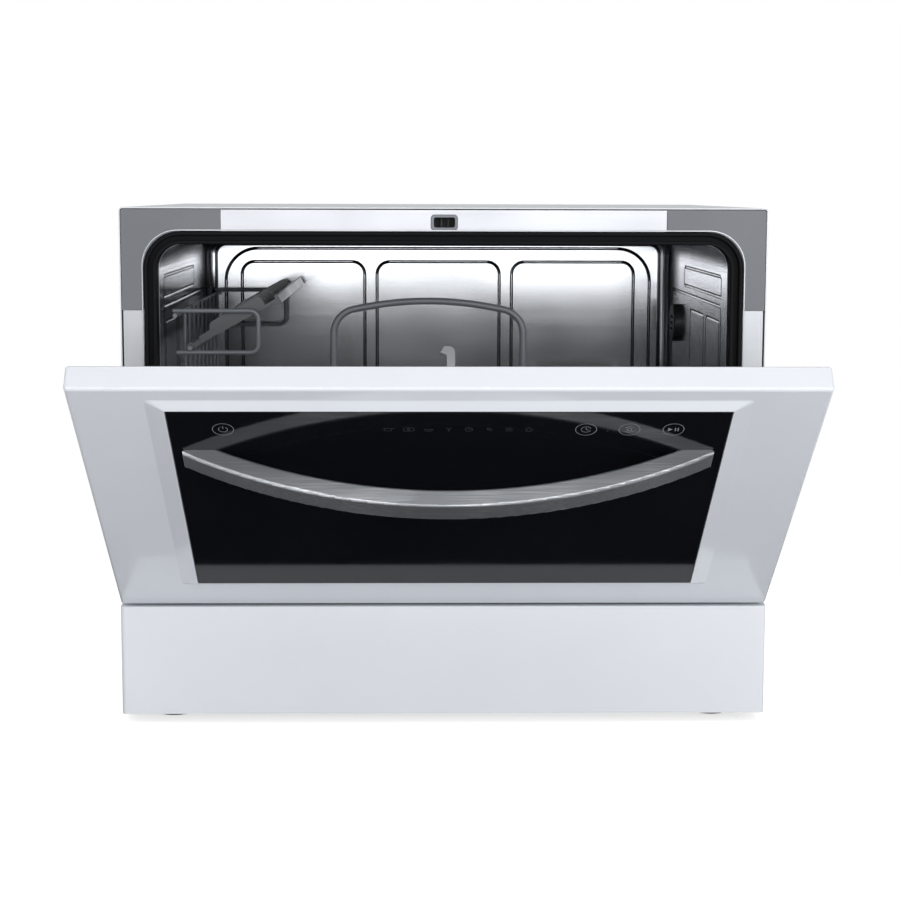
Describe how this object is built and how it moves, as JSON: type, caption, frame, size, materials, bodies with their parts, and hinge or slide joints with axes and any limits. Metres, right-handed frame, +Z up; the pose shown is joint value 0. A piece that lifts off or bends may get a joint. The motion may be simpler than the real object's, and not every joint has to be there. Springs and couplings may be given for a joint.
{
  "type": "countertop dishwasher",
  "caption": "Countertop dishwasher with a drop-down glass-front door on side hinges, stainless tub, sliding wire basket with folding cup shelf, spray arm, filter and pumps.",
  "frame": {"origin": "on the table below the middle of the bounding box with the door half open as pictured", "axes": "+X to the right seen from the front, +Y to the back, +Z up"},
  "size_m": [0.55, 0.7552, 0.438],
  "materials": {
    "white_sheet": "smooth white powder coat",
    "white_plastic": "satin white moulding",
    "pan_plastic": "moulded grey polypropylene",
    "black_glass": "black printed glass",
    "stainless": "bright rolled stainless",
    "gasket_rubber": "matte extruded rubber",
    "foot_rubber": "matte moulded rubber",
    "grey_plastic": "satin grey moulding",
    "dark_plastic": "matte black moulding",
    "zinc_steel": "zinc plated steel",
    "coated_wire": "grey nylon coated wire",
    "pale_plastic": "pale grey moulding",
    "board": "green circuit board",
    "handle_steel": "fine brushed stainless"
  },
  "bodies": {
    "cabinet": {"air_break": "pale_plastic", "back_panel": "white_sheet", "base_pan": "pan_plastic", "cord_gland": "dark_plastic", "drain_pipe": "dark_plastic", "drain_pump": "dark_plastic", "filter_plate": "stainless", "flow_heater": "zinc_steel", "hinge_pins": "zinc_steel", "inlet_hose": "dark_plastic", "inlet_valve": "dark_plastic", "kick_plate": "white_sheet", "latch_bezel": "dark_plastic", "latch_housing": "dark_plastic", "left_corner_cover": "grey_plastic", "left_hinge_bracket": "zinc_steel", "left_side_panel": "white_sheet", "panel_screws": "zinc_steel", "right_corner_cover": "grey_plastic", "right_hinge_bracket": "zinc_steel", "right_side_panel": "white_sheet", "rubber_feet": "foot_rubber", "sump": "dark_plastic", "top_panel": "white_sheet", "tub_back_wall": "stainless", "tub_floor": "stainless", "tub_front_frame": "stainless", "tub_gasket": "gasket_rubber", "tub_left_wall": "stainless", "tub_right_wall": "stainless", "tub_roof": "stainless", "vent_cap": "dark_plastic", "wash_pump": "dark_plastic", "water_softener": "pale_plastic"},
    "door": {"door_outer_panel": "white_plastic", "door_glass": "black_glass", "door_handle": "handle_steel", "door_liner": "stainless", "latch_hook": "zinc_steel", "dispenser_housing": "grey_plastic", "control_board": "board", "liner_screws": "zinc_steel", "door_springs": "zinc_steel", "left_hinge_arm": "zinc_steel", "right_hinge_arm": "zinc_steel"},
    "basket": {"basket_rim": "coated_wire", "basket_wires": "coated_wire", "basket_handle": "coated_wire", "cup_shelf_frame": "coated_wire", "cutlery_basket": "grey_plastic"},
    "comb_flap": {"comb_flap": "grey_plastic"},
    "detergent_lid": {"detergent_lid": "grey_plastic"},
    "filter_cup": {"filter_cup": "dark_plastic"},
    "front_left_wheel": {"front_left_wheel": "pale_plastic"},
    "front_right_wheel": {"front_right_wheel": "pale_plastic"},
    "rear_left_wheel": {"rear_left_wheel": "pale_plastic"},
    "rear_right_wheel": {"rear_right_wheel": "pale_plastic"},
    "rinse_aid_cap": {"rinse_aid_cap": "dark_plastic"},
    "salt_cap": {"salt_cap": "pale_plastic"},
    "spray_arm": {"spray_arm": "grey_plastic"}
  },
  "joints": [
    {"name": "door_hinge", "type": "hinge", "parent": "cabinet", "child": "door", "pos_m": [0, -0.12441, 0.116], "axis": [1, 0, 0], "range_deg": [-50.6, 39.4]},
    {"name": "lid_slide", "type": "slide", "parent": "door", "child": "detergent_lid", "axis": [1, 0, 0], "range_m": [0, 0.062]},
    {"name": "rinse_cap_twist", "type": "hinge", "parent": "door", "child": "rinse_aid_cap", "pos_m": [0.07, -0.21551, 0.23354], "axis": [0, 0.6347, 0.7727], "range_deg": [0, 90]},
    {"name": "basket_slide", "type": "slide", "parent": "cabinet", "child": "basket", "axis": [0, 1, 0], "range_m": [-0.02, 0.01]},
    {"name": "cup_shelf_fold", "type": "hinge", "parent": "basket", "child": "comb_flap", "pos_m": [-0.219, 0.11159, 0.31694], "axis": [0, 1, 0], "range_deg": [-45, 29]},
    {"name": "spray_arm_spin", "type": "hinge", "parent": "cabinet", "child": "spray_arm", "pos_m": [0, 0.11559, 0.145], "axis": [0, 0, 1], "continuous": true},
    {"name": "filter_cup_twist", "type": "hinge", "parent": "cabinet", "child": "filter_cup", "pos_m": [0, 0.06359, 0.1315], "axis": [0, 0, 1], "range_deg": [0, 60]},
    {"name": "salt_cap_twist", "type": "hinge", "parent": "cabinet", "child": "salt_cap", "pos_m": [-0.165, 0.25659, 0.1315], "axis": [0, 0, 1], "range_deg": [0, 90]},
    {"name": "front_left_wheel_roll", "type": "hinge", "parent": "basket", "child": "front_left_wheel", "pos_m": [-0.22, -0.0351, 0.1426], "axis": [1, 0, 0], "continuous": true},
    {"name": "front_right_wheel_roll", "type": "hinge", "parent": "basket", "child": "front_right_wheel", "pos_m": [0.22, -0.0351, 0.1426], "axis": [1, 0, 0], "continuous": true},
    {"name": "rear_left_wheel_roll", "type": "hinge", "parent": "basket", "child": "rear_left_wheel", "pos_m": [-0.22, 0.2134, 0.1426], "axis": [1, 0, 0], "continuous": true},
    {"name": "rear_right_wheel_roll", "type": "hinge", "parent": "basket", "child": "rear_right_wheel", "pos_m": [0.22, 0.2134, 0.1426], "axis": [1, 0, 0], "continuous": true}
  ],
  "couplings": [
    {"joint": "front_left_wheel_roll", "follows": "basket_slide", "rad_per_m": -90.909},
    {"joint": "front_right_wheel_roll", "follows": "basket_slide", "rad_per_m": -90.909},
    {"joint": "rear_left_wheel_roll", "follows": "basket_slide", "rad_per_m": -90.909},
    {"joint": "rear_right_wheel_roll", "follows": "basket_slide", "rad_per_m": -90.909}
  ]
}
